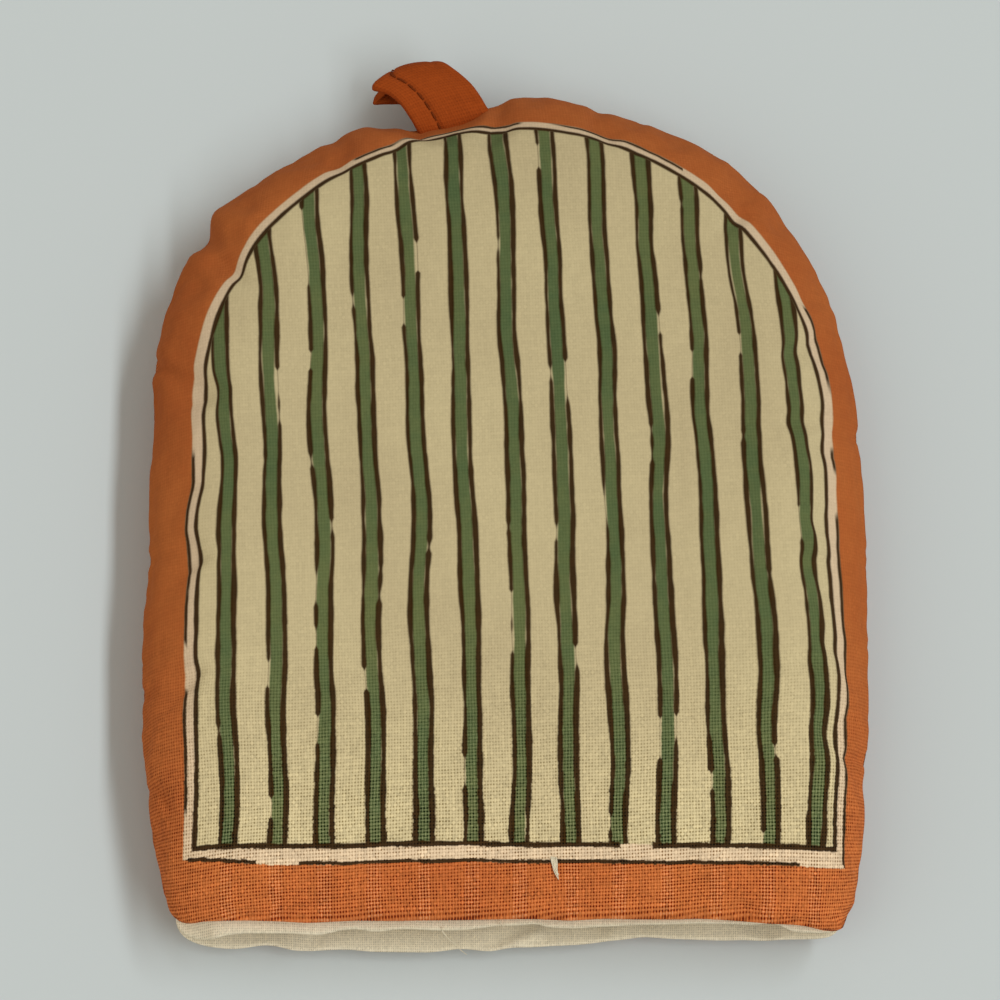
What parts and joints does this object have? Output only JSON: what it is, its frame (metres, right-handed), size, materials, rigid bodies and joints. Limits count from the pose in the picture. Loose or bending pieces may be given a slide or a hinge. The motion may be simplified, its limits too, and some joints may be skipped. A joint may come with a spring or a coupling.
{
  "type": "egg cosy",
  "caption": "Padded egg cosy laid flat, arch shaped, open at the hem, lined, with a printed striped front and a tape hanging loop in the top seam.",
  "frame": {"origin": "middle of the cosy's box in plan, on the surface it lies on", "axes": "+Y from the mouth to the top of the dome, +Z out of the printed face, +X to the right with the dome up"},
  "size_m": [0.0974, 0.1246, 0.0154],
  "materials": {
    "printed_cloth": "plain weave, matt, orange border round cream cloth with green and brown bars",
    "plain_cloth": "plain weave, matt, orange",
    "lining_cloth": "fine thin cotton, off-white, matt",
    "tape_cloth": "plain weave, matt, orange, folded and stitched"
  },
  "bodies": {
    "root": {"front_panel": "printed_cloth", "back_panel": "plain_cloth", "lining_front": "lining_cloth", "lining_back": "lining_cloth", "hanging_loop": "tape_cloth"}
  },
  "joints": []
}
